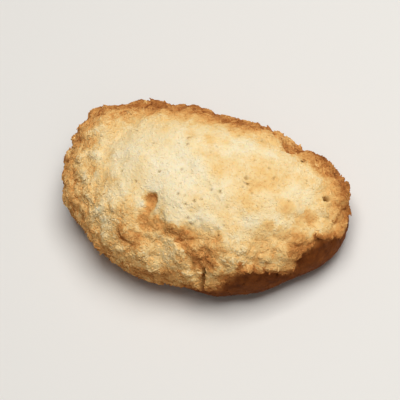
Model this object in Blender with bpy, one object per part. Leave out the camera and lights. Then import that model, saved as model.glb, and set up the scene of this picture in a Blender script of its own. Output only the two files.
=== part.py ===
"""An oval coconut macaroon, baked lying on its flat underside.

The underside is flat, a pressed flank rises from it, and a craggy top of bound coconut stands a little proud
of the flank. Coconut flakes are fused into the top and its rim. The long axis is X, the tapered end is at +X,
and the torn crag in the top faces -Y. The origin is in the middle of the underside.
"""

import math
import random

import bmesh
import bpy
from mathutils import Matrix, Vector, noise

MM = 0.001

# Driving sizes of the macaroon, without the flakes
LENGTH = 78 * MM
WIDTH = 46.5 * MM
HEIGHT = 28.5 * MM
GIRTH_HEIGHT = 10 * MM
GIRTH_HEIGHT_AT_TIPS = 7 * MM
BOW = 3.4 * MM
TIP_SAG = 2.5 * MM

# Roundness exponents: 2 is an ellipse, and more is squarer
BLUNT_END = 2.45
TAPERED_END = 2.0
CROWN = 2.1
HEEL = 3.2
SOLE_CUT = 0.9

# The wrapped cube's cells along X, Y and Z, and how many triangles are left of them
CELLS = (84, 54, 36)
BODY_TRIANGLES = 6600

# Relief of the baked surface: cell size and height
LARGE_LUMPS = (8.5 * MM, 1.3 * MM)
SMALL_LUMPS = (3.6 * MM, 1.1 * MM)
FLANK_LUMPS = (6.0 * MM, 0.4 * MM)
SWELL = (24 * MM, 0.8 * MM)
LUMP_STEEPNESS = 1.25
ROUGH_AT_RIM = 1.4
ROUGH_AT_TOP = 0.8
SOLE_BLEND = 3.0 * MM

# The lip, where the craggy top ends over the flank. It is highest at the front, towards the tapered end
LIP_HEIGHT = 12 * MM
LIP_HEIGHT_AT_TIPS = 9.5 * MM
LIP_RAGGED = (5.5 * MM, 2.4 * MM)
LIP_RISE = 4.0 * MM
LIP_RISE_BEARING = math.radians(-32)
LIP_PROUD = 0.9 * MM
LIP_BLEND = 1.2 * MM

# The crag: a torn ledge in the front of the top, as points in plan, with a pit at its start
CRAG = ((-6.2, -9.6), (-6.4, -14.6), (-0.6, -15.2), (2.7, -16.1), (8.4, -15.9), (11.1, -18.1), (12.2, -22.5))
CRAG_DROP = 2.3 * MM
CRAG_FALL = 9.0 * MM
CRAG_EDGE = 1.0 * MM
CRAG_WANDER = (3.0 * MM, 1.2 * MM)

# Places in plan where the surface swells or sinks, each with its radius and height, in millimetres
UNEVEN_TOP = (
    (-6.0, -9.2, 2.0, -1.6),  # the pit at the crag's start
    (19.5, 18.5, 4.6, -3.2),  # the notch in the back of the rim
    (27.5, 16.5, 7.5, 1.6),  # the lobe beside the notch
    (35.5, 13.0, 6.0, 2.2),  # the knob at the tapered end
)
UNEVEN_OUTLINE = (
    (-33.5, 10.0, 14.0, 2.0),
    (-27.0, -16.5, 12.0, -1.3),
    (-9.0, -23.0, 9.0, 0.9),
    (12.0, -23.0, 7.0, 0.8),
    (30.0, -13.0, 10.0, -1.0),
)

# Coconut flakes that are large enough to stand out. They lie where the surface is mostly top, and the rim is
# where that is steep
FLAKES = 92
FLAKE_TOP_SHARE = 0.3
RIM_SLOPE = 0.6
FLAKE_LENGTH = (2.6 * MM, 5.6 * MM)
FLAKE_WIDTH = (1.1 * MM, 1.7 * MM)
FLAKE_PROUD = 0.6 * MM
FLAKE_ROOT = 1.1 * MM
FLAKE_BEND = 0.09
FLAKE_END_WIDTH = 0.5
FLAKE_TILT = math.radians(17)
FLAKE_LOWEST = 8.5 * MM
RIM_SHARE = 0.45
PICK_FROM = 14
SHORTEST_EDGE = 0.03 * MM
SEED = 27

# Where two faces meet more sharply than this, the edge between them is shown sharp
SHARP_ANGLE = math.radians(50)

COLOUR = (0.74, 0.47, 0.2, 1)
ROUGHNESS = 0.75


def clear_scene():
    for obj in list(bpy.data.objects):
        bpy.data.objects.remove(obj, do_unlink=True)


def blend(low, high, value):
    """0 below low, 1 above high, and a smooth step between."""
    t = min(1.0, max(0.0, (value - low) / (high - low)))
    return t * t * (3 - 2 * t)


def mix(a, b, t):
    return a + (b - a) * t


def body_point(direction):
    """The smooth macaroon's surface point in a direction from its middle, measured in its half axes."""
    dx, dy, dz = direction
    across = math.hypot(dx, dy)
    along = dx / across if across > 1e-9 else 0.0
    plan_power = mix(BLUNT_END, TAPERED_END, 0.5 + 0.5 * along)
    plan = (abs(dx) ** plan_power + abs(dy) ** plan_power) ** (1 / plan_power)
    power = CROWN if dz > 0 else HEEL
    reach = (plan**power + abs(dz) ** power) ** (-1 / power)
    x = dx * reach * LENGTH / 2
    y = dy * reach * WIDTH / 2
    girth = mix(GIRTH_HEIGHT, GIRTH_HEIGHT_AT_TIPS, across * along**4)
    if dz > 0:
        z = girth + dz * reach * (HEIGHT - girth)
        z -= TIP_SAG * (2 * x / LENGTH) ** 2 * dz * reach
    else:
        z = max(0.0, girth + dz * reach * girth / SOLE_CUT)
    return Vector((x, y + BOW * (2 * x / LENGTH) ** 2, z))


def lumps(point, cell):
    """Rounded nuggets about one cell across, from -0.5 in the creases to 0.5 on top."""
    nearest = noise.voronoi(point / cell)[0][0]
    return 0.5 - min(1.0, nearest * LUMP_STEEPNESS)


def along_crag(x, y):
    """(distance to the crag's line, whether the place is on its outer side, towards the front)."""
    best, outside = math.inf, False
    for (ax, ay), (bx, by) in zip(CRAG, CRAG[1:]):
        ax, ay, bx, by = ax * MM, ay * MM, bx * MM, by * MM
        run, rise = bx - ax, by - ay
        t = min(1.0, max(0.0, ((x - ax) * run + (y - ay) * rise) / (run**2 + rise**2)))
        gap = math.hypot(x - ax - t * run, y - ay - t * rise)
        if gap < best:
            best = gap
            outside = run * (y - ay) - rise * (x - ax) < 0
    return best, outside


def crag_relief(point):
    """The drop outside the torn ledge."""
    wander = CRAG_WANDER[1] * noise.noise(point / CRAG_WANDER[0])
    gap, outside = along_crag(point.x + wander, point.y + wander)
    drop = -CRAG_DROP * (1 - blend(0, CRAG_FALL, gap))
    if not outside:
        drop *= 1 - blend(0, CRAG_EDGE, gap)
    return drop


def uneven_relief(point, places):
    """Swellings and hollows, which fade with the distance in plan."""
    total = 0.0
    for x, y, radius, height in places:
        away = math.hypot(point.x - x * MM, point.y - y * MM)
        total += height * MM * (1 - blend(0, radius * MM, away))
    return total


def crown_share(point):
    """0 on the pressed flank and 1 on the craggy top, with a ragged line between."""
    bearing = math.atan2(point.y / WIDTH, point.x / LENGTH)
    ends = abs(math.cos(bearing)) ** 3
    rise = LIP_RISE * math.cos(bearing - LIP_RISE_BEARING) if point.y < 0 else 0.0
    ragged = LIP_RAGGED[1] * noise.noise(Vector((point.x, point.y, 0)) / LIP_RAGGED[0])
    lip = mix(LIP_HEIGHT, LIP_HEIGHT_AT_TIPS, ends) + rise + ragged
    return blend(lip - LIP_BLEND, lip + LIP_BLEND, point.z)


def relief(point):
    """How far the baked surface stands out from the smooth body there."""
    whole = SWELL[1] * noise.noise(point / SWELL[0]) + uneven_relief(point, UNEVEN_OUTLINE)
    rough = mix(ROUGH_AT_RIM, ROUGH_AT_TOP, blend(LIP_HEIGHT, HEIGHT, point.z))
    top = LIP_PROUD + crag_relief(point) + uneven_relief(point, UNEVEN_TOP)
    top += LARGE_LUMPS[1] * lumps(point, LARGE_LUMPS[0])
    top += SMALL_LUMPS[1] * rough * lumps(point, SMALL_LUMPS[0])
    flank = FLANK_LUMPS[1] * lumps(point, FLANK_LUMPS[0])
    return (whole + mix(flank, top, crown_share(point))) * blend(0, SOLE_BLEND, point.z)


def cut_along(bm, axis, cells):
    """Cuts every edge of a box that runs along one axis into that many cells."""
    edges = [e for e in bm.edges if abs((e.verts[0].co - e.verts[1].co)[axis]) > 1e-6]
    bmesh.ops.subdivide_edges(bm, edges=edges, cuts=cells - 1, use_grid_fill=True)


def make_body(collection):
    """A finely cut cube, wrapped onto the macaroon's form, with the baked relief."""
    bm = bmesh.new()
    bmesh.ops.create_cube(bm, size=2)
    for axis, cells in enumerate(CELLS):
        cut_along(bm, axis, cells)
    for vert in bm.verts:
        spread = Vector([math.tan(c * math.pi / 4) for c in vert.co])
        vert.co = body_point(spread.normalized())
    bm.normal_update()
    moves = {vert: vert.normal * relief(vert.co) for vert in bm.verts}
    for vert, move in moves.items():
        vert.co += move
        vert.co.z = max(0.0, vert.co.z)
    mesh = bpy.data.meshes.new("macaroon")
    bm.to_mesh(mesh)
    bm.free()
    body = bpy.data.objects.new("macaroon", mesh)
    collection.objects.link(body)
    thin = body.modifiers.new("fewer faces", "DECIMATE")
    thin.ratio = BODY_TRIANGLES / (2 * len(mesh.polygons))
    apply(body, thin)
    return body


def apply(body, modifier):
    bpy.context.view_layer.objects.active = body
    bpy.ops.object.modifier_apply(modifier=modifier.name)


def pick_places(mesh, draw):
    """Places and normals for the flakes: some along the rim of the top, and the rest over it."""
    rim, top = [], []
    for face in mesh.polygons:
        if face.center.z < FLAKE_LOWEST or crown_share(face.center) < FLAKE_TOP_SHARE:
            continue
        (rim if face.normal.z < RIM_SLOPE else top).append(face)
    at_rim = round(FLAKES * RIM_SHARE)
    chosen = spread_out(rim, at_rim, draw) + spread_out(top, FLAKES - at_rim, draw)
    return [(face.center.copy(), face.normal.copy()) for face in chosen]


def spread_out(faces, count, draw):
    """Picks faces one by one, each the best of a few random ones at keeping away from those picked."""
    picked = []
    for _ in range(count):
        tries = draw.sample(faces, PICK_FROM)
        if picked:
            tries.sort(key=lambda f: -min((f.center - p.center).length for p in picked))
        picked.append(tries[0])
    return picked


def make_flake(place, normal, draw):
    """One bent strip of coconut with a ridge, thin edges and narrow ends. Its root leaves no gap under it."""
    bm = bmesh.new()
    bmesh.ops.create_cone(bm, cap_ends=True, segments=4, radius1=0.5, radius2=0.5, depth=1)
    cut_along(bm, 2, 2)
    length = draw.uniform(*FLAKE_LENGTH)
    width = draw.uniform(*FLAKE_WIDTH)
    for vert in bm.verts:
        across, up, along = vert.co
        narrow = mix(1.0, FLAKE_END_WIDTH, 2 * abs(along))
        arch = FLAKE_BEND * length * (4 * along**2 - 0.5)
        height = 2 * up * (FLAKE_PROUD * narrow if up > 0 else FLAKE_ROOT)
        vert.co = Vector((along * length, across * width * narrow, height - arch))
    turn = Matrix.Rotation(draw.uniform(0, math.tau), 4, "Z")
    tilt = Matrix.Rotation(draw.uniform(-FLAKE_TILT, FLAKE_TILT), 4, "Y")
    stand = normal.to_track_quat("Z", "Y").to_matrix().to_4x4()
    bm.transform(Matrix.Translation(place) @ stand @ turn @ tilt)
    mesh = bpy.data.meshes.new("flake")
    bm.to_mesh(mesh)
    bm.free()
    return mesh


def make_flakes(body, collection):
    """Each flake as an object of its own, ready for the union."""
    draw = random.Random(SEED)
    for place, normal in pick_places(body.data, draw):
        flake = bpy.data.objects.new("flake", make_flake(place, normal, draw))
        collection.objects.link(flake)


def fuse(body, flakes):
    """Joins the flakes to the body in one union, and removes them."""
    union = body.modifiers.new("fused flakes", "BOOLEAN")
    union.operation = "UNION"
    union.operand_type = "COLLECTION"
    union.collection = flakes
    union.solver = "MANIFOLD"
    apply(body, union)
    for flake in list(flakes.objects):
        bpy.data.objects.remove(flake, do_unlink=True)
    bpy.data.collections.remove(flakes)


def shell_of(start):
    """Every face that shared edges join to this one."""
    found, ahead = {start}, [start]
    while ahead:
        near = {f for e in ahead.pop().edges for f in e.link_faces} - found
        found |= near
        ahead.extend(near)
    return found


def settle(body):
    """Fills sealed gaps, drops loose scraps, and puts the origin in the middle of the underside."""
    bm = bmesh.new()
    bm.from_mesh(body.data)
    bmesh.ops.triangulate(bm, faces=bm.faces)
    bmesh.ops.dissolve_degenerate(bm, dist=SHORTEST_EDGE, edges=bm.edges)
    left, shells = set(bm.faces), []
    while left:
        shells.append(shell_of(next(iter(left))))
        left -= shells[-1]
    shells.sort(key=len)
    for extra in shells[:-1]:
        bmesh.ops.delete(bm, geom=list(extra), context="FACES")
    low = Vector([min(v.co[i] for v in bm.verts) for i in range(3)])
    high = Vector([max(v.co[i] for v in bm.verts) for i in range(3)])
    middle = Vector(((low.x + high.x) / 2, (low.y + high.y) / 2, low.z))
    bmesh.ops.translate(bm, vec=-middle, verts=bm.verts)
    bm.to_mesh(body.data)
    bm.free()


def baked_coconut():
    """Toasted coconut: one golden cream over the whole piece, matte."""
    material = bpy.data.materials.new("baked coconut")
    material.use_nodes = True
    shader = material.node_tree.nodes["Principled BSDF"]
    shader.inputs["Base Color"].default_value = COLOUR
    shader.inputs["Roughness"].default_value = ROUGHNESS
    shader.inputs["Metallic"].default_value = 0
    return material


def main():
    clear_scene()
    collection = bpy.data.collections.new("coconut macaroon")
    flakes = bpy.data.collections.new("flakes")
    for made in (collection, flakes):
        bpy.context.scene.collection.children.link(made)
    body = make_body(collection)
    make_flakes(body, flakes)
    fuse(body, flakes)
    settle(body)
    body.data.materials.clear()
    body.data.materials.append(baked_coconut())
    body.data.shade_smooth()
    body.data.set_sharp_from_angle(angle=SHARP_ANGLE)


main()
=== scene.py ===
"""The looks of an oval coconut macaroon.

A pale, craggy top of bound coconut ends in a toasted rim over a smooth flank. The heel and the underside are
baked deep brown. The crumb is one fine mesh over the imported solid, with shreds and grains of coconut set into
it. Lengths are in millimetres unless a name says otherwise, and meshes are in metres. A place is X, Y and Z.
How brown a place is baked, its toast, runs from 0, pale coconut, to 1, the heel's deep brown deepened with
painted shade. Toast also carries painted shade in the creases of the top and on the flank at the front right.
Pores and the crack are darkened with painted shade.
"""

import math

import bmesh
import bpy
import numpy as np
from mathutils import Matrix, Quaternion, Vector, noise


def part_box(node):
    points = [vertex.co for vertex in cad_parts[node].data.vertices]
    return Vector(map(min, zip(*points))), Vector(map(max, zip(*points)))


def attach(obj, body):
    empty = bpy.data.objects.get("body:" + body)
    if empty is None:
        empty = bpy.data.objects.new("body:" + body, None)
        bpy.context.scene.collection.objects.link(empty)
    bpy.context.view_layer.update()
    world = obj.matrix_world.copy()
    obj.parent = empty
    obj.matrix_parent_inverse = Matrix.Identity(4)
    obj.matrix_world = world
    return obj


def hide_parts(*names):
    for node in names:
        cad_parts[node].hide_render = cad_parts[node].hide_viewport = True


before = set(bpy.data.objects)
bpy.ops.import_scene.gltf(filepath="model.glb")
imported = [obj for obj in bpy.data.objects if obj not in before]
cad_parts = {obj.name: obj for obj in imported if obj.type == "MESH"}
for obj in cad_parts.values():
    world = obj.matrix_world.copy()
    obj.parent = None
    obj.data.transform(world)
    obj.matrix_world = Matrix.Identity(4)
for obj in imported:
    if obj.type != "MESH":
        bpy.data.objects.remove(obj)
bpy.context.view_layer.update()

MM = 0.001

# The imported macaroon's half sizes, from its box
LOWEST, HIGHEST = (np.array(corner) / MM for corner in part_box("macaroon"))
HALF_LENGTH, HALF_WIDTH = (HIGHEST - LOWEST)[:2] / 2

# The lip, where the craggy top ends over the flank: bearing in degrees, and height
LIP = (
    (-165, 9.5),
    (-150, 7.5),
    (-135, 8.0),
    (-115, 5.5),
    (-85, 6.5),
    (-74, 9.0),
    (-66, 12.5),
    (-60, 15.0),
    (-55, 16.8),
    (-47, 14.6),
    (-42, 12.6),
    (-38, 10.6),
    (-34, 10.0),
    (-30, 10.6),
    (-26, 13.0),
    (-20, 15.0),
    (-9, 15.5),
    (-3, 12.5),
    (6, 8.5),
    (22, 10.5),
    (38, 8.5),
    (55, 12.5),
    (70, 10.0),
    (86, 13.0),
    (104, 10.0),
    (122, 12.5),
    (140, 9.0),
    (158, 12.0),
    (176, 8.5),
)

# How ragged the lip is, as pairs of noise size and height, how softly top and flank meet there, how far the
# lip stands proud, and how deep its undercut is and how far down it reaches
LIP_RAGGED = ((4.0, 1.3), (1.8, 1.3), (0.9, 0.8))
LIP_BLEND = 0.4
LIP_PROUD = 0.55
LIP_UNDERCUT = 0.6
UNDERCUT_REACH = (0.5, 5.0)

# The pit in the front of the top, the place behind it, and the torn ledge from below it to the lip, in plan
PIT = (-5.3, -10.1)
BEHIND_PIT = (-6.1, -5.5)
LEDGE = ((-5.5, -15.1), (0.3, -15.7), (3.6, -16.6), (9.3, -16.4), (12.0, -18.6), (13.1, -23.0))

# The crack that runs from the ledge down through the lip: its line, half width and depth, and how dark it is
# painted inside, as painted shade
CRACK = ((11.6, -20.5, 17.2), (11.0, -22.4, 13.8), (10.6, -23.4, 11.4), (10.5, -23.8, 7.6))
CRACK_HALF_WIDTH = 1.1
CRACK_DEPTH = 1.5
CRACK_SHADE = 0.6

# Pores in the top: place in plan, radius, depth, and how dark it is painted inside, as painted shade. The last
# three shape the pit
PORES = (
    (34.7, 6.8, 1.0, 1.6, 1.0),
    (-6.1, -3.1, 0.5, 0.5, 0.5),
    (16.1, 2.2, 0.7, 0.7, 0.55),
    (16.9, 0.9, 0.5, 0.5, 0.5),
    (11.3, -3.5, 0.5, 0.5, 0.6),
    (25.6, 14.3, 0.7, 0.8, 0.7),
    (4.5, 6.2, 0.4, 0.4, 0.4),
    (-2.2, 9.0, 0.4, 0.4, 0.4),
    (7.4, -6.8, 0.4, 0.4, 0.5),
    (3.0, -7.4, 0.35, 0.4, 0.5),
    (-6.8, -10.0, 0.8, 0.4, 0.3),
    (-5.9, -10.1, 2.2, 1.3, 0.0),
    (-6.4, -12.0, 1.4, 0.7, 0.0),
)

# Crowds of small pores: how far apart they lie, where a pore is deepest and where it ends, both as shares of
# that, and the pattern's shift. Then how deep all are, and how much painted shade darkens those of the top,
# flank and underside
TOP_PORES = (3.4, 0.08, 0.16, 4.8)
FLANK_PORES = (2.1, 0.09, 0.19, 6.6)
SOLE_PORES = (4.4, 0.06, 0.16, 9.1)
SMALL_PORE_DEPTH = 0.35
SMALL_PORE_SHADE = (0.5, 0.6, 0.6)

# The toasted fringe round the top: bearing in degrees, the height where it starts, its depth and its toast
FRINGE = (
    (-165, 24.0, 8.5, 0.42),
    (-148, 24.0, 8.5, 0.41),
    (-135, 22.5, 8.5, 0.43),
    (-115, 20.5, 8.5, 0.43),
    (-80, 19.5, 9.0, 0.45),
    (-55, 18.5, 8.0, 0.45),
    (-20, 18.5, 7.0, 0.44),
    (5, 20.5, 8.5, 0.42),
    (25, 21.5, 8.0, 0.55),
    (40, 22.5, 7.5, 0.58),
    (52, 23.5, 7.5, 0.64),
    (58, 23.5, 6.5, 0.54),
    (63, 24.0, 5.0, 0.36),
    (72, 26.5, 6.0, 0.54),
    (100, 27.5, 6.5, 0.58),
    (118, 27.2, 6.5, 0.58),
    (130, 27.0, 7.0, 0.55),
    (145, 26.0, 7.5, 0.52),
    (160, 25.5, 8.0, 0.50),
    (175, 25.0, 8.5, 0.46),
)

# Patches of the top that are paler or browner: place, radius, toast, and how much of it shows
PATCHES = (
    (-3.0, -2.0, 29.2, 13.0, 0.03, 0.9),
    (-17.0, 3.0, 26.5, 12.0, 0.10, 0.6),
    (21.0, 4.5, 26.0, 9.0, 0.32, 0.7),
    (9.5, 3.0, 28.8, 6.0, 0.30, 0.7),
    (27.9, -0.7, 23.6, 3.6, 0.40, 0.7),
    (25.0, -9.5, 20.9, 7.5, 0.35, 0.7),
    (28.6, -7.1, 21.0, 3.0, 0.42, 0.8),
    (30.6, -5.4, 20.4, 2.4, 0.40, 0.7),
    (32.9, 0.2, 19.2, 3.0, 0.45, 0.8),
    (31.2, -1.6, 20.8, 2.4, 0.38, 0.7),
    (25.4, -6.7, 23.5, 2.6, 0.43, 0.7),
    (19.0, 1.1, 26.6, 3.2, 0.40, 0.6),
    (32.9, -8.0, 16.6, 6.0, 0.59, 0.9),
    (36.2, -5.2, 14.2, 3.6, 0.55, 0.85),
    (37.8, 5.5, 14.0, 4.5, 0.38, 0.6),
    (24.0, -14.3, 17.9, 2.0, 0.46, 0.8),
    (33.0, 8.0, 18.3, 5.0, 0.18, 0.7),
    (-20.0, 8.0, 24.5, 6.0, 0.22, 0.5),
    (-24.0, -6.0, 23.9, 6.0, 0.26, 0.5),
    (-29.4, 2.2, 22.2, 2.6, 0.46, 0.7),
    (-25.1, -5.3, 23.3, 2.6, 0.44, 0.7),
    (-32.1, -6.3, 18.4, 3.4, 0.52, 0.7),
    (-29.5, -12.1, 17.6, 2.8, 0.58, 0.7),
    (-13.3, -15.4, 24.1, 2.4, 0.40, 0.7),
    (-24.7, -13.5, 18.9, 2.8, 0.46, 0.6),
    (-35.5, 5.5, 17.0, 2.6, 0.62, 0.7),
    (-9.0, -20.5, 18.9, 13.0, 0.32, 0.85),
    (18.0, -17.0, 18.5, 9.0, 0.33, 0.7),
    (-12.0, -18.4, 21.2, 2.8, 0.54, 0.9),
    (-8.2, -19.6, 20.6, 3.8, 0.51, 0.9),
    (-11.4, -19.6, 20.4, 1.8, 0.62, 0.8),
    (-6.0, -9.9, 25.8, 3.2, 0.55, 0.95),
    (-6.3, -12.5, 24.6, 2.8, 0.47, 0.9),
    (-1.4, -13.5, 25.2, 2.6, 0.34, 0.7),
    (0.4, -15.2, 23.2, 3.8, 0.42, 0.85),
    (6.5, -14.8, 24.0, 4.0, 0.38, 0.85),
    (7.5, -16.4, 20.8, 6.0, 0.44, 0.95),
    (13.0, -15.6, 23.2, 5.0, 0.40, 0.9),
    (10.4, -19.0, 18.0, 4.6, 0.58, 0.95),
    (15.6, -20.8, 15.6, 3.2, 0.50, 0.85),
    (6.0, -20.3, 18.4, 2.4, 0.46, 0.8),
    (5.1, -23.0, 9.0, 5.0, 0.50, 0.8),
    (30.6, -12.0, 9.0, 4.0, 0.62, 0.95),
)

# The toasted field that the tear lays bare, as overlapping balls: place, radius and toast
TORN = (
    (-6.6, -15.0, 23.0, 2.0, 0.46),
    (-5.0, -15.0, 23.4, 2.1, 0.45),
    (-3.2, -14.8, 23.9, 2.3, 0.44),
    (-1.0, -14.8, 23.8, 2.2, 0.44),
    (1.6, -15.2, 23.6, 2.3, 0.48),
    (4.6, -15.7, 23.0, 2.3, 0.56),
    (7.4, -15.8, 22.0, 2.8, 0.40),
    (6.6, -17.2, 20.4, 2.0, 0.54),
    (10.4, -15.8, 22.2, 3.1, 0.35),
    (13.4, -15.8, 22.8, 2.8, 0.39),
    (9.6, -17.8, 19.4, 2.8, 0.53),
    (12.4, -17.8, 20.6, 3.0, 0.50),
    (10.4, -19.4, 17.8, 2.8, 0.53),
    (13.2, -19.4, 19.2, 2.4, 0.54),
    (11.4, -22.0, 14.5, 1.4, 0.56),
)
TORN_SHARE = 0.92

# Lumps of bound coconut that stand out of the crumb, and dips, whose height is below nought: place, radius,
# height and how much less toast they have
LUMPS = (
    (3.9, -19.2, 20.0, 2.6, 0.68, 0.03),
    (-11.7, -21.3, 17.4, 2.2, 0.6, 0.1),
    (15.4, -19.8, 18.3, 2.4, 0.6, 0.07),
    (-2.3, -23.0, 15.1, 2.6, 0.6, 0.07),
    (7.4, -21.8, 15.4, 2.4, 0.6, 0.06),
    (21.1, -14.2, 21.4, 2.3, 0.45, 0.04),
    (26.4, -13.4, 18.4, 2.0, 0.45, 0.06),
    (-5.2, -21.6, 18.1, 2.4, 0.52, 0.08),
    (-16.5, -18.5, 19.0, 2.2, 0.52, 0.06),
    (-19.2, -14.0, 22.8, 2.6, 0.52, 0.06),
    (-26.1, -1.1, 23.9, 2.6, 0.45, 0.05),
    (-38.6, 6.2, 13.4, 1.8, 0.3, 0.06),
    (-37.3, 0.8, 14.3, 2.4, 0.38, 0.07),
    (-34.7, 7.3, 18.3, 2.2, 0.38, 0.08),
    (-28.3, -14.4, 13.4, 2.4, 0.45, 0.05),
    (-29.2, 12.2, 20.9, 2.4, 0.38, 0.07),
    (-20.2, -15.2, 21.1, 2.0, 0.38, 0.04),
    (2.6, -17.4, 21.0, 3.4, 0.7, 0.0),
    (-3.0, -16.2, 21.4, 3.0, 0.7, 0.0),
    (8.2, -16.8, 20.4, 3.8, 1.3, 0.0),
    (-2.0, -13.6, 25.6, 3.0, -0.6, 0.0),
    (7.2, -14.2, 25.2, 3.4, -0.9, 0.0),
    (11.5, -14.8, 24.4, 3.4, -0.7, 0.0),
)

# The calm middle of the top, as an oval in plan: its middle's X and Y, its half length and its half width.
# Its edge is where it begins to roughen and where it is fully rough, as shares of those
CALM_MIDDLE = (5.0, 1.0, 35.0, 17.5)
CALM_EDGE = (0.65, 1.15)

# The crumb's mesh: its face size, how often each of its regions is smoothed, and where those regions lie
MERGE_DISTANCE = 0.002
FACE_SIZE = 0.37
SMOOTH_ROUNDS = 10
FLANK_SMOOTH_ROUNDS = 40
FLANK_SMOOTH_HEIGHTS = (0.8, 9.0)
CALM_SMOOTH_ROUNDS = 14
CALM_LIMITS = (0.8, 0.5, 0.2)
CALM_ABOVE = 20.0
CALM_CLEAR_OF_LEDGE = 2.5
LEDGE_SMOOTH_ROUNDS = 26
LEDGE_REACHES = (6.0, 5.0, 4.0, 3.0, 2.0)
LEDGE_ABOVE = 12.0
PIT_SMOOTH_ROUNDS = 130
PIT_REACHES = (5.0, 4.0, 3.0)
UNDERSIDE_BELOW = 0.25

# How uneven the edges of patches and lumps are, and how the clumps and knobs are drawn out, as pairs of noise
# size and distance
WANDER = (2.2, 1.3)
DRIFT = (6.5, 2.4)

# The relief of the top: cell size, height in the calm middle and height where it is rough
CLUMPS = (3.8, 0.264, 0.66)
KNOBS = (2.1, 0.15, 0.30)
GRAINS = (1.2, 0.154, 0.242)

# The relief of the flank, as pairs of cell size and height, and the height above the underside from which all
# relief is whole
FLANK_RIPPLE = (2.6, 0.14)
FLANK_GRAINS = (1.1, 0.12)
SOLE_BLEND = 2.5

# Toast of the main zones, and how far above or below the lip a zone reaches. Of a pair, the first is for the
# back and the second for the front right, where the flank is darkest: its higher toast and shorter reach there
# are painted shade. The flank's and heel's toast is a baked deep brown, deepened with painted shade. The heel's
# toast is whole below the first of its heights and ends at the second, and pores and loose coconut begin along
# the heel's edge
TOP_TOAST = 0.15
ROUGH_TOAST = 0.06
LEAST_ROUGH_TOAST = 0.16
LIP_TOAST = 0.64
LIP_TOAST_REACH = (1.8, 2.8)
UNDER_LIP_TOAST_AND_SHADE = (0.50, 0.66)
UNDER_LIP_REACH = (9.0, 3.0)
FLANK_TOAST_AND_SHADE = 0.88
HEEL_TOAST_AND_SHADE = 0.90
HEEL_HEIGHTS = (0.5, 5.0)
HEEL_EDGE = (1.0, 3.0)
FRONT_RIGHT = math.radians(-32)

# The soft, medium, fine and sharp mottles of the toast: noise size and shift
MOTTLES = ((7.0, 3.1), (3.8, 7.4), (2.3, 5.7), (1.0, 8.3))

# How much each of the four mottles changes the toast of a zone, and how much each moves the edge of a zone
TOP_MOTTLE = (0.10, 0.13, 0.06, 0.03)
FRINGE_MOTTLE = (0.0, 0.0, 0.12, 0.10)
LIP_MOTTLE = (0.0, 0.0, 0.0, 0.10)
FLANK_MOTTLE = (0.0, 0.07, 0.06, 0.04)
HEEL_MOTTLE = (0.06, 0.0, 0.05, 0.0)
FRINGE_EDGE = (1.6, 0.0, 1.8, 1.2)
LIP_EDGE = (0.0, 0.0, 0.8, 0.0)
UNDER_LIP_EDGE = (0.3, 0.0, 0.0, 0.0)

# How much paler clumps and knobs are than the creases between them, where the browner toast is painted shade,
# and how much of that the calm middle has
CLUMP_CREASE_SHADE = 0.10
KNOB_CREASE_SHADE = 0.08
CALM_SHARE = 0.4

# The linear colour of each step of toast. The last step, at 1, is the baked deep brown darkened further with
# painted shade
TONES = (
    (0.00, (0.900, 0.805, 0.575)),
    (0.16, (0.880, 0.700, 0.400)),
    (0.30, (0.840, 0.570, 0.240)),
    (0.45, (0.720, 0.380, 0.120)),
    (0.60, (0.480, 0.190, 0.050)),
    (0.78, (0.230, 0.068, 0.015)),
    (1.00, (0.088, 0.021, 0.005)),
)
# The linear colour that painted shade in pores and the crack darkens the coconut towards
PAINTED_PORE_SHADE = (0.20, 0.12, 0.035)

# The finish: the cell sizes of its mottle, specks and grain, and the grain's depth
MOTTLE_CELL = 1.9
SPECK_CELL = 0.8
GRAIN_CELL = 0.45
GRAIN_DEPTH = 0.25

# Loose coconut: how densely it lies on the rough top, the lowest it reaches, how much deeper it sits below
# the lip, how its bits vary in size, how much browner they get as they stand out, and the seed of its draws
ON_ROUGH_TOP = 1.3
LOOSE_ABOVE = 0.3
DEEPER_BELOW_LIP = 0.06
LOOSE_SCALES = (0.8, 1.15)
PROUD_TOAST = 0.22
SEED = 11

# How unevenly loose coconut leans, stands out and is toasted, in the calm middle and where the top is rough
LEAN_SPREADS = (0.04, 0.2)
HEIGHT_SPREADS = (0.02, 0.06)
TOAST_SPREADS = (0.015, 0.045)

# The camera: its direction and roll in degrees, and how wide a view it has at the place that it aims at
CAMERA_AZIMUTH = 45
CAMERA_ELEVATION = 60
CAMERA_ROLL = -25
CAMERA_DISTANCE = 900
CAMERA_AIM = (0.5, -0.5, 12)
VIEW_WIDTH = 104
SENSOR = 36


def blend(low, high, value):
    """0 below low, 1 above high, and a smooth step between. Takes numbers or arrays."""
    t = np.clip((value - low) / (high - low), 0.0, 1.0)
    return t * t * (3 - 2 * t)


def mix(a, b, t):
    """The value that lies the share t of the way from a to b. Takes numbers or arrays."""
    return a + (b - a) * t


def noise_at(points, size, shift):
    """Smooth noise of about -1 to 1 at each point, with features of about this size."""
    return np.array([noise.noise(Vector(p)) for p in points / size + shift])


def nearest_seed(points, size, shift):
    """The distance to the nearest of a crowd of seeds that lie about this far apart, as a share of that."""
    return np.array([noise.voronoi(Vector(p))[0][0] for p in points / size + shift])


def nuggets(points, size, shift):
    """Rounded nuggets with creases between: about -0.5 to 0.5."""
    return 0.5 - np.minimum(1.0, 1.25 * nearest_seed(points, size, shift))


def near_line(points, line):
    """Each point's distance to a line of points, in as many directions as the line has."""
    flat = points[:, :len(line[0])]
    best = np.full(len(points), np.inf)
    for start, end in zip(np.array(line), np.array(line[1:])):
        run = end - start
        share = np.clip((flat - start) @ run / (run @ run), 0, 1)
        gap = np.linalg.norm(flat - start - share[:, None] * run, axis=1)
        best = np.minimum(best, gap)
    return best


def bearing_of(x, y):
    """The bearing of each place in plan, in radians, with the oval taken as round."""
    return np.arctan2(y / HALF_WIDTH, x / HALF_LENGTH)


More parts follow.
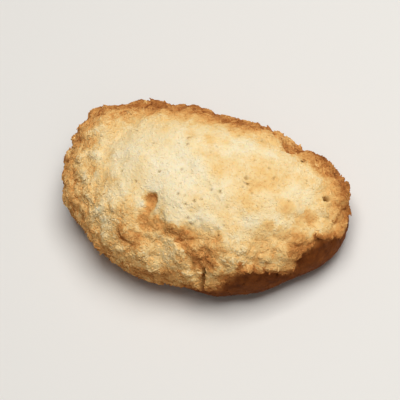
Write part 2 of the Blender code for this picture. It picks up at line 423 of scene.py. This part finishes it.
def by_bearing(x, y, table, column=1):
    """A table's values, read off smoothly by the bearing of each place in plan."""
    rows = np.array(table)
    return np.interp(np.degrees(bearing_of(x, y)), rows[:, 0], rows[:, column], period=360)


def over_lip(points):
    """How far above the ragged lip each point is, where the craggy top ends."""
    x, y, z = points.T
    lip = by_bearing(x, y, LIP)
    plan = points * (1, 1, 0.25)  # so that the noise changes slowly with height
    for size, height in LIP_RAGGED:
        lip += height * noise_at(plan, size, size)
    return z - lip


def below_lip(points):
    """1 below the lip, 0 above it, and a smooth step between."""
    return 1 - blend(-0.5, 0.5, over_lip(points))


def roughness_at(points):
    """0 in the calm middle of the top, and 1 well away from it."""
    x, y, length, width = CALM_MIDDLE
    return blend(*CALM_EDGE, np.hypot((points[:, 0] - x) / length, (points[:, 1] - y) / width))


def moved_about(points, size, distance, shifts):
    """The points moved by noise of this size, by up to about this distance along each axis."""
    return points + distance * np.stack([noise_at(points, size, shift) for shift in shifts], axis=1)


def wander(points):
    """The points moved about a little, so that what is measured from them has an uneven edge."""
    return moved_about(points, *WANDER, shifts=(1.3, 4.6, 9.9))


def clumps_and_knobs(points):
    """The two coarse sizes of nuggets, drawn out and squeezed so that no two are alike."""
    drawn_out = moved_about(points, *DRIFT, shifts=(2.4, 6.1, 11.7))
    return nuggets(drawn_out, CLUMPS[0], 1.7), nuggets(drawn_out, KNOBS[0], 4.2)


def in_ball(points, middle, radius, whole, end=1.0):
    """1 up to the share whole of a ball's radius, 0 beyond the share end, and a smooth step between."""
    return 1 - blend(whole * radius, end * radius, np.linalg.norm(points - middle, axis=1))


def in_lumps(points):
    """For each lump or dip: how far inside it each point lies, from 0 to 1, its height and its paleness."""
    for *place, radius, height, paler in LUMPS:
        yield in_ball(points, place, radius, 0.3), height, paler


def torn_at(points):
    """How far inside the torn field each point lies, from 0 to 1, and the field's toast there."""
    inside, browns = np.zeros(len(points)), np.zeros(len(points))
    shares = np.full(len(points), 1e-6)  # not nought, because the browns are divided by them
    for *place, radius, toast in TORN:
        share = in_ball(points, place, radius, 0.55, 1.1)
        inside = np.maximum(inside, share)
        shares += share
        browns += share * toast
    return inside, browns / shares


def toast_of_top(points, lift, front_right, mottles):
    """The top's toast: pale coconut, patches, fringe, torn field and lip, with painted shade in its creases."""
    x, y, z = points.T
    rough = roughness_at(points)
    strayed = wander(points)
    toast = TOP_TOAST + ROUGH_TOAST * rough + mottles @ TOP_MOTTLE
    for *place, radius, patch_toast, share in PATCHES:
        toast = mix(toast, patch_toast, share * in_ball(strayed, place, radius, 0.2))
    toast = np.maximum(toast, LEAST_ROUGH_TOAST * rough)

    begins, depth, fringe_toast = (by_bearing(x, y, FRINGE, column) for column in (1, 2, 3))
    fringe = 1 - blend(begins - depth, begins, z + mottles @ FRINGE_EDGE)
    toast = np.maximum(toast, mix(toast, fringe_toast + mottles @ FRINGE_MOTTLE, fringe))
    torn, torn_toast = torn_at(strayed)
    toast = mix(toast, torn_toast, TORN_SHARE * torn)

    clumps, knobs = clumps_and_knobs(points)
    # Painted shade: the creases between clumps and knobs are browned and their tops paled
    toast -= mix(CALM_SHARE, 1.0, rough) * (CLUMP_CREASE_SHADE * clumps + KNOB_CREASE_SHADE * knobs)
    for inside, _, paler in in_lumps(strayed):
        toast -= paler * inside
    at_lip = 1 - blend(0.0, mix(*LIP_TOAST_REACH, front_right), lift + mottles @ LIP_EDGE)
    return mix(toast, LIP_TOAST + mottles @ LIP_MOTTLE, at_lip)


def toast_of_flank(points, lift, front_right, mottles):
    """The flank's toast, deepened by painted shade: lighter under the lip, dark lower down, darkest at the
    heel.
    """
    lower = blend(0.0, 1.0, -lift / mix(*UNDER_LIP_REACH, front_right) + mottles @ UNDER_LIP_EDGE)
    # Painted shade: at the front right the flank is browner and browns sooner below the lip
    toast = mix(mix(*UNDER_LIP_TOAST_AND_SHADE, front_right), FLANK_TOAST_AND_SHADE, lower) + mottles @ FLANK_MOTTLE
    return mix(HEEL_TOAST_AND_SHADE + mottles @ HEEL_MOTTLE, toast, blend(*HEEL_HEIGHTS, points[:, 2]))


def toast_at(points):
    """The toast of the whole surface at each point."""
    lift = over_lip(points)
    front_right = blend(0.2, 0.95, np.cos(bearing_of(points[:, 0], points[:, 1]) - FRONT_RIGHT))
    mottles = np.stack([noise_at(points, size, shift) for size, shift in MOTTLES], axis=1)
    top = toast_of_top(points, lift, front_right, mottles)
    flank = toast_of_flank(points, lift, front_right, mottles)
    return np.clip(mix(flank, top, blend(-LIP_BLEND, LIP_BLEND, lift)), 0, 1)


def crowd_at(points, crowd, ragged=0.0):
    """How deep in one of a crowd of small pores each point lies, from 0 to 1."""
    apart, deepest, ends, shift = crowd
    return 1 - blend(deepest, ends, nearest_seed(points, apart, shift) + ragged)


def pores_at(points, normals):
    """How much painted shade darkens each point in its pore or crack, from 0 to 1, and how deep that is."""
    dark, depth = np.zeros(len(points)), np.zeros(len(points))
    ragged = 0.25 * noise_at(points, 0.8, 2.2)
    faces_up = blend(0.1, 0.4, normals[:, 2])
    for x, y, radius, pore_depth, pore_shade in PORES:
        away = np.hypot(points[:, 0] - x, points[:, 1] - y) + ragged
        inside = (1 - blend(0.35 * radius, 1.15 * radius, away)) * faces_up
        dark = np.maximum(dark, pore_shade * inside)
        depth = np.maximum(depth, pore_depth * inside)
    split = 1 - blend(0.1, CRACK_HALF_WIDTH, near_line(points, CRACK) + ragged)
    dark = np.maximum(dark, CRACK_SHADE * split)
    depth = np.maximum(depth, CRACK_DEPTH * split)

    on_top = crowd_at(points, TOP_PORES) * blend(0.8, 0.92, normals[:, 2])
    on_flank = crowd_at(points, FLANK_PORES, 0.05 * ragged) * blend(*HEEL_EDGE, points[:, 2])
    on_flank *= below_lip(points)
    on_sole = crowd_at(points, SOLE_PORES, 0.06 * ragged) * blend(0.7, 0.95, -normals[:, 2])
    for inside, pore_shade in zip((on_top, on_flank, on_sole), SMALL_PORE_SHADE):
        dark = np.maximum(dark, pore_shade * inside)
        depth = np.maximum(depth, SMALL_PORE_DEPTH * inside)
    return dark, depth


def relief_at(points):
    """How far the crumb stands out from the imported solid's smoothed surface."""
    lift = over_lip(points)
    rough = roughness_at(points)
    clumps, knobs = clumps_and_knobs(points)
    top = mix(*CLUMPS[1:], rough) * clumps + mix(*KNOBS[1:], rough) * knobs
    top += mix(*GRAINS[1:], rough) * nuggets(points, GRAINS[0], 7.5)
    for inside, height, _ in in_lumps(wander(points)):
        top += height * inside
    top += LIP_PROUD
    flank = FLANK_RIPPLE[1] * noise_at(points, FLANK_RIPPLE[0], 3.3)
    flank += FLANK_GRAINS[1] * nuggets(points, FLANK_GRAINS[0], 2.8)
    flank -= LIP_UNDERCUT * (1 - blend(*UNDERCUT_REACH, -lift))
    return mix(flank, top, blend(-LIP_BLEND, LIP_BLEND, lift)) * blend(0, SOLE_BLEND, points[:, 2])


def points_of(mesh):
    """A mesh's points, in millimetres, and its normals there."""
    points = np.empty(3 * len(mesh.vertices), np.float32)
    mesh.vertices.foreach_get("co", points)
    normals = np.empty_like(points)
    mesh.vertices.foreach_get("normal", normals)
    return points.reshape(-1, 3).astype(float) / MM, normals.reshape(-1, 3).astype(float)


def keep_values(mesh, **values):
    """Keeps each array of one number a point as an attribute that the materials read."""
    for name, numbers in values.items():
        layer = mesh.attributes.new(name, "FLOAT", "POINT")
        layer.data.foreach_set("value", numbers.astype(np.float32))


def read_values(mesh, name):
    """The array that keep_values kept under this name."""
    numbers = np.empty(len(mesh.vertices), np.float32)
    mesh.attributes[name].data.foreach_get("value", numbers)
    return numbers.astype(float)


def remeshed(node):
    """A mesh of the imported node, with its loose triangles merged and then remade as small even faces."""
    bm = bmesh.new()
    bm.from_mesh(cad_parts[node].data)
    bmesh.ops.remove_doubles(bm, verts=bm.verts, dist=MERGE_DISTANCE * MM)
    mesh = bpy.data.meshes.new("merged copy")
    bm.to_mesh(mesh)
    bm.free()
    holder = bpy.data.objects.new("merged copy", mesh)
    bpy.context.scene.collection.objects.link(holder)
    even = holder.modifiers.new("even faces", "REMESH")
    even.mode = "VOXEL"
    even.voxel_size = FACE_SIZE * MM
    seen = holder.evaluated_get(bpy.context.evaluated_depsgraph_get())
    fine = bpy.data.meshes.new_from_object(seen)
    bpy.data.objects.remove(holder, do_unlink=True)
    return fine


def smooth_facets_away(mesh):
    """Smooths the mesh all over, and more on the flank, by the ledge, in the calm middle and in the pit."""
    bm = bmesh.new()
    bm.from_mesh(mesh)
    places = np.array([vert.co for vert in bm.verts]) / MM
    height, rough = places[:, 2], roughness_at(places)
    from_ledge, from_pit = near_line(places, LEDGE), near_line(places, (PIT, BEHIND_PIT))
    everywhere = np.ones(len(places), bool)
    flank = (height > FLANK_SMOOTH_HEIGHTS[0]) & (height < FLANK_SMOOTH_HEIGHTS[1])
    front = height > LEDGE_ABOVE
    high = height > CALM_ABOVE
    calm = high & (from_ledge > CALM_CLEAR_OF_LEDGE)

    regions = [(everywhere, SMOOTH_ROUNDS), (flank, FLANK_SMOOTH_ROUNDS)]
    regions += [(front & (from_ledge < reach), LEDGE_SMOOTH_ROUNDS) for reach in LEDGE_REACHES]
    regions += [(calm & (rough < limit), CALM_SMOOTH_ROUNDS) for limit in CALM_LIMITS]
    regions += [(high & (from_pit < reach), PIT_SMOOTH_ROUNDS) for reach in PIT_REACHES]
    every_way = dict(use_axis_x=True, use_axis_y=True, use_axis_z=True)
    for region, rounds in regions:
        verts = [vert for vert, chosen in zip(bm.verts, region) if chosen]
        for _ in range(rounds):
            bmesh.ops.smooth_vert(bm, verts=verts, factor=0.5, **every_way)
    bm.to_mesh(mesh)
    bm.free()


def add_piece(name, mesh, material):
    """Adds a mesh to the scene as a piece of the macaroon, with this one material."""
    piece = bpy.data.objects.new(name, mesh)
    bpy.context.scene.collection.objects.link(piece)
    mesh.materials.clear()
    mesh.materials.append(material)
    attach(piece, "root")
    return piece


def make_crumb(material):
    """The whole macaroon's surface, with its clumps, grains and pores, and its toast everywhere."""
    mesh = remeshed("macaroon")
    smooth_facets_away(mesh)
    points, normals = points_of(mesh)
    pore, depth = pores_at(points, normals)
    moved = points + normals * (relief_at(points) - depth)[:, None]
    moved[:, 2] = np.where(points[:, 2] < UNDERSIDE_BELOW, depth, np.maximum(0.0, moved[:, 2]))
    mesh.vertices.foreach_set("co", (moved * MM).astype(np.float32).ravel())
    mesh.update()
    # The pore values are painted shade: how much pores and the crack are darkened
    keep_values(mesh, toast=toast_at(points), pore=pore)
    mesh.shade_smooth()
    crumb = add_piece("macaroon_crumb", mesh, material)
    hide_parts("macaroon")
    return crumb


def arrays_of(bm):
    """A small triangulated shape as arrays of points and faces. It frees the bmesh."""
    bm.verts.index_update()
    points = np.array([vert.co for vert in bm.verts])
    faces = np.array([[vert.index for vert in face.verts] for face in bm.faces])
    bm.free()
    return points, faces


def strip_shapes(draw, count, lengths, widths, thicknesses):
    """Some strips of coconut at real size, each bent and twisted, with narrow ends."""
    shapes = []
    for _ in range(count):
        length, width, thick = draw.uniform(*lengths), draw.uniform(*widths), draw.uniform(*thicknesses)
        arch, sway, twist = draw.uniform(-0.03, 0.10), draw.uniform(-0.14, 0.14), draw.uniform(-0.5, 0.5)
        bm = bmesh.new()
        bmesh.ops.create_cube(bm, size=1)
        long_edges = [e for e in bm.edges if abs((e.verts[0].co - e.verts[1].co).x) > 0.5]
        bmesh.ops.subdivide_edges(bm, edges=long_edges, cuts=2, use_grid_fill=True)
        for vert in bm.verts:
            along, across, up = vert.co
            end = (2 * abs(along)) ** 2
            side = Vector((0, across * width * mix(1, 0.45, end), up * thick * mix(1, 0.6, end)))
            side.rotate(Matrix.Rotation(twist * along, 3, "X"))
            curve = 0.25 - along**2
            vert.co = Vector((along * length, sway * length * curve, arch * length * curve)) + side
        bmesh.ops.triangulate(bm, faces=bm.faces)
        shapes.append(arrays_of(bm))
    return shapes


def grain_shapes(draw, count, lengths, widths, heights):
    """Some broken bits of coconut at real size, each an uneven lump with flat sides."""
    shapes = []
    for _ in range(count):
        bm = bmesh.new()
        bmesh.ops.create_icosphere(bm, subdivisions=1, radius=0.5)
        size = Vector((draw.uniform(*lengths), draw.uniform(*widths), draw.uniform(*heights)))
        for vert in bm.verts:
            vert.co *= draw.uniform(0.75, 1.15)
            vert.co *= size
        shapes.append(arrays_of(bm))
    return shapes


def pick_places(crumb, draw, count, in_middle, on_flank):
    """Points, normals, toast and roughness at random places of the crumb, off its pores and underside."""
    points, normals = points_of(crumb.data)
    rough = roughness_at(points)
    on_top = mix(in_middle, ON_ROUGH_TOP, rough)
    weight = mix(on_flank, on_top, blend(-0.3, 0.8, over_lip(points)))
    weight *= blend(*HEEL_EDGE, points[:, 2])
    weight *= 1 - blend(0.05, 0.4, read_values(crumb.data, "pore"))
    chosen = draw.choice(len(points), count, replace=False, p=weight / weight.sum())
    return points[chosen], normals[chosen], read_values(crumb.data, "toast")[chosen], rough[chosen]


def turns_to(normals, draw, lean):
    """A turn for each normal: +Z stands along it, +X points anywhere, and both lean by a random share."""
    count = len(normals)
    tilted = normals + draw.normal(size=(count, 3)) * lean[:, None]
    up = tilted / np.linalg.norm(tilted, axis=1, keepdims=True)
    any_way = draw.normal(size=(count, 3))
    side = np.cross(up, any_way)
    side /= np.linalg.norm(side, axis=1, keepdims=True)
    return np.stack([side, np.cross(up, side), up], axis=2)


def scatter(name, shapes, crumb, draw, material, *, count, depth, in_middle, on_flank):
    """Joins many copies of a few shapes as one piece, their middles set this deep into the crumb.

    How densely they lie in the calm middle and on the flank is on the same scale as ON_ROUGH_TOP.
    """
    places, normals, toast, rough = pick_places(crumb, draw, count, in_middle, on_flank)
    turns = turns_to(normals, draw, mix(*LEAN_SPREADS, rough))
    sunk = depth + DEEPER_BELOW_LIP * below_lip(places)
    stands_out = draw.normal(0.0, mix(*HEIGHT_SPREADS, rough)) - sunk
    places = places + normals * stands_out[:, None]
    scale = draw.uniform(*LOOSE_SCALES, size=count)
    shade = toast + draw.normal(0.0, mix(*TOAST_SPREADS, rough))
    kinds = draw.integers(len(shapes), size=count)
    points, faces, browned, start = [], [], [], 0
    for kind, (shape, sides) in enumerate(shapes):
        mine = np.flatnonzero(kinds == kind)
        made = np.einsum("nij,mj->nmi", turns[mine], shape) * scale[mine, None, None] + places[mine, None]
        proud = np.einsum("nmi,ni->nm", made - places[mine, None], normals[mine])
        points.append(made.reshape(-1, 3))
        offsets = start + np.arange(len(mine)) * len(shape)
        faces.append((offsets[:, None, None] + sides).reshape(-1, 3))
        browner = PROUD_TOAST * toast[mine, None] * np.clip(proud, -0.3, 0.8)
        browned.append((shade[mine, None] + browner).ravel())
        start += len(mine) * len(shape)
    points = np.concatenate(points)
    points[:, 2] = np.maximum(points[:, 2], LOOSE_ABOVE)
    mesh = bpy.data.meshes.new(name)
    mesh.from_pydata(points * MM, [], np.concatenate(faces))
    keep_values(mesh, toast=np.clip(np.concatenate(browned), 0, 1), pore=np.zeros(len(points)))
    mesh.shade_smooth()
    mesh.set_sharp_from_angle(angle=math.radians(55))
    return add_piece(name, mesh, material)


def baked_coconut(name, grain_strength, see_through):
    """Matte coconut whose colour follows its toast, with fine mottling, grain, and painted shade in pores and
    crack.
    """
    material = bpy.data.materials.new(name)
    material.use_nodes = True
    tree = material.node_tree
    shader = tree.nodes["Principled BSDF"]

    def node(kind, **settings):
        made = tree.nodes.new(kind)
        for key, value in settings.items():
            setattr(made, key, value)
        return made

    def attribute(name):
        return node("ShaderNodeAttribute", attribute_name=name).outputs["Fac"]

    def math_of(operation, first, second):
        made = node("ShaderNodeMath", operation=operation)
        for socket, value in zip(made.inputs, (first, second)):
            if isinstance(value, (int, float)):
                socket.default_value = value
            else:
                tree.links.new(value, socket)
        return made.outputs[0]

    def pattern(kind, cell):
        made = node(kind)
        made.inputs["Scale"].default_value = 1 / (cell * MM)
        tree.links.new(place, made.inputs["Vector"])
        return made

    def noise_of(cell, detail):
        made = pattern("ShaderNodeTexNoise", cell)
        made.inputs["Detail"].default_value = detail
        made.inputs["Roughness"].default_value = 0.6
        return made.outputs["Fac"]

    def ranged(value, low, high, value_at_high=1.0):
        made = node("ShaderNodeMapRange")
        tree.links.new(value, made.inputs["Value"])
        made.inputs["From Max"].default_value = value_at_high
        made.inputs["To Min"].default_value = low
        made.inputs["To Max"].default_value = high
        return made.outputs["Result"]

    place = node("ShaderNodeTexCoord").outputs["Object"]
    specks = pattern("ShaderNodeTexVoronoi", SPECK_CELL)
    channels = node("ShaderNodeSeparateColor")
    tree.links.new(specks.outputs["Color"], channels.inputs["Color"])
    mottle = math_of("MULTIPLY", math_of("SUBTRACT", noise_of(MOTTLE_CELL, 4), 0.5), 0.12)
    speckle = math_of("MULTIPLY", math_of("SUBTRACT", channels.outputs["Red"], 0.5), 0.06)
    toast = math_of("ADD", math_of("ADD", attribute("toast"), mottle), speckle)

    ramp = node("ShaderNodeValToRGB")
    stops = ramp.color_ramp.elements
    for spot, (at, tone) in enumerate(TONES):
        stop = stops[spot] if spot < 2 else stops.new(at)
        stop.position = at
        stop.color = (*tone, 1)
    tree.links.new(toast, ramp.inputs["Fac"])

    # Painted shade: pores and the crack are darkened towards the pore tone
    holes = node("ShaderNodeMix", data_type="RGBA", blend_type="MULTIPLY")
    tree.links.new(attribute("pore"), holes.inputs["Factor"])
    tree.links.new(ramp.outputs["Color"], holes.inputs["A"])
    holes.inputs["B"].default_value = (*PAINTED_PORE_SHADE, 1)
    tree.links.new(holes.outputs["Result"], shader.inputs["Base Color"])
    tree.links.new(ranged(toast, 0.75, 0.62), shader.inputs["Roughness"])
    shader.inputs["Specular IOR Level"].default_value = 0.03

    bump = node("ShaderNodeBump")
    bump.inputs["Strength"].default_value = grain_strength
    bump.inputs["Distance"].default_value = GRAIN_DEPTH * MM
    grain = math_of("MULTIPLY", noise_of(GRAIN_CELL, 3), 0.6)
    tree.links.new(math_of("ADD", grain, specks.outputs["Distance"]), bump.inputs["Height"])
    tree.links.new(bump.outputs["Normal"], shader.inputs["Normal"])

    if see_through:
        tree.links.new(ranged(toast, see_through, 0.0, 0.6), shader.inputs["Subsurface Weight"])
        shader.inputs["Subsurface Radius"].default_value = (1.0, 0.55, 0.25)
        shader.inputs["Subsurface Scale"].default_value = 1.1 * MM
    return material


def make_macaroon():
    """The crumb, and the shreds and grains of coconut that are set into it."""
    draw = np.random.default_rng(SEED)
    crumb = make_crumb(baked_coconut("baked coconut crumb", grain_strength=0.4, see_through=0.25))
    loose = baked_coconut("baked coconut shreds", grain_strength=0.15, see_through=0.0)

    def set_in(name, shapes, **amounts):
        scatter(name, shapes, crumb, draw, loose, **amounts)

    shreds = strip_shapes(draw, 14, lengths=(0.9, 2.2), widths=(0.3, 0.6), thicknesses=(0.22, 0.34))
    set_in("coconut_shreds", shreds, count=6600, depth=0.07, in_middle=0.06, on_flank=0.0)
    grains = grain_shapes(draw, 10, lengths=(0.6, 1.2), widths=(0.5, 0.8), heights=(0.3, 0.55))
    set_in("coconut_grains", grains, count=9200, depth=0.09, in_middle=0.5, on_flank=0.0)
    fine = grain_shapes(draw, 10, lengths=(0.4, 0.65), widths=(0.35, 0.5), heights=(0.3, 0.4))
    set_in("fine_coconut_grains", fine, count=9700, depth=0.05, in_middle=1.3, on_flank=0.8)


def plain_surface(name, shade):
    """A plain matte material of one shade."""
    material = bpy.data.materials.new(name)
    material.use_nodes = True
    shader = material.node_tree.nodes["Principled BSDF"]
    shader.inputs["Base Color"].default_value = (*shade, 1)
    shader.inputs["Roughness"].default_value = 0.9
    shader.inputs["Specular IOR Level"].default_value = 0.1
    return material


def make_floor():
    """The pale floor, 6 metres wide."""
    bm = bmesh.new()
    bmesh.ops.create_grid(bm, x_segments=1, y_segments=1, size=3)
    mesh = bpy.data.meshes.new("floor")
    bm.to_mesh(mesh)
    bm.free()
    floor = bpy.data.objects.new("floor", mesh)
    mesh.materials.append(plain_surface("pale floor", (0.80, 0.79, 0.77)))
    bpy.context.scene.collection.objects.link(floor)


def direction(azimuth, elevation):
    """The unit direction from the macaroon to this azimuth, where 0 is the front, and this elevation."""
    turn, rise = math.radians(azimuth), math.radians(elevation)
    return Vector((math.sin(turn) * math.cos(rise), -math.cos(turn) * math.cos(rise), math.sin(rise)))


def soft_light(name, azimuth, elevation, distance, size, power, colour):
    """A square soft box that looks at the macaroon. Distance and size are in metres, power in watts."""
    light = bpy.data.lights.new(name, "AREA")
    light.size = size
    light.energy = power
    light.color = colour
    lamp = bpy.data.objects.new(name, light)
    towards = direction(azimuth, elevation)
    lamp.location = towards * distance
    lamp.rotation_euler = towards.to_track_quat("Z", "Y").to_euler()
    bpy.context.scene.collection.objects.link(lamp)


def make_studio():
    """A warm key and fill from soft boxes, and the weak light of a pale room."""
    soft_light("key soft box", 128, 76, distance=0.9, size=0.60, power=8.3, colour=(1.0, 0.985, 0.96))
    soft_light("fill soft box", 60, 50, distance=1.2, size=0.8, power=0.9, colour=(1.0, 0.96, 0.90))
    world = bpy.data.worlds.new("pale room")
    world.use_nodes = True
    sky = world.node_tree.nodes["Background"]
    sky.inputs["Color"].default_value = (1.0, 0.955, 0.89, 1)
    sky.inputs["Strength"].default_value = 0.10
    bpy.context.scene.world = world
    bpy.context.scene.view_settings.view_transform = "Standard"


def make_camera():
    """The camera, which looks down on the front right and frames the whole macaroon."""
    lens = bpy.data.cameras.new("camera")
    lens.sensor_width = SENSOR
    lens.lens = SENSOR * CAMERA_DISTANCE / VIEW_WIDTH
    lens.clip_start = 0.01
    camera = bpy.data.objects.new("camera", lens)
    towards = direction(CAMERA_AZIMUTH, CAMERA_ELEVATION)
    camera.location = (Vector(CAMERA_AIM) + towards * CAMERA_DISTANCE) * MM
    roll = Quaternion((0, 0, 1), math.radians(CAMERA_ROLL))
    camera.rotation_euler = (towards.to_track_quat("Z", "Y") @ roll).to_euler()
    bpy.context.scene.collection.objects.link(camera)
    bpy.context.scene.camera = camera


make_macaroon()
make_floor()
make_studio()
make_camera()
